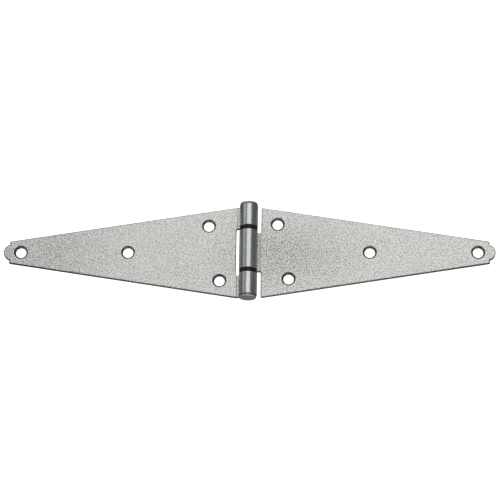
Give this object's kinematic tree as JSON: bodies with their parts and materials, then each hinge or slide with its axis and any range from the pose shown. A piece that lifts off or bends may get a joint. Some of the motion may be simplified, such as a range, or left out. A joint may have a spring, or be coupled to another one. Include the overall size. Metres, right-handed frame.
{
  "type": "strap hinge",
  "caption": "Heavy strap hinge for gates and doors: two long tapered steel straps with rolled knuckles on one headed pin, with black spacer washers.",
  "frame": {"origin": "under the middle of the pin, on the mounting plane that both straps' backs lie in", "axes": "+X along the right strap, +Y along the pin, +Z out of the mounting plane towards the barrel; the hinge lies open flat"},
  "size_m": [0.3048, 0.0626, 0.0114],
  "materials": {
    "strap": "zinc plated sheet with a fine speckle, satin",
    "pin": "zinc plated, smoother and brighter than the sheet",
    "washer": "black nylon, faint gloss"
  },
  "bodies": {
    "left_leaf": {"strap_left": "strap", "hinge_pin": "pin"},
    "right_leaf": {"strap_right": "strap"},
    "upper_spacer": {"upper_washer": "washer"},
    "lower_spacer": {"lower_washer": "washer"}
  },
  "joints": [
    {"name": "strap_swing", "type": "hinge", "parent": "left_leaf", "child": "right_leaf", "pos_m": [0, 0, 0.0057], "axis": [0, -1, 0], "range_deg": [-105, 180]},
    {"name": "upper_washer_spin", "type": "hinge", "parent": "left_leaf", "child": "upper_spacer", "pos_m": [0, 0.01395, 0.0057], "axis": [0, 1, 0], "continuous": true},
    {"name": "lower_washer_spin", "type": "hinge", "parent": "left_leaf", "child": "lower_spacer", "pos_m": [0, -0.01395, 0.0057], "axis": [0, 1, 0], "continuous": true}
  ]
}
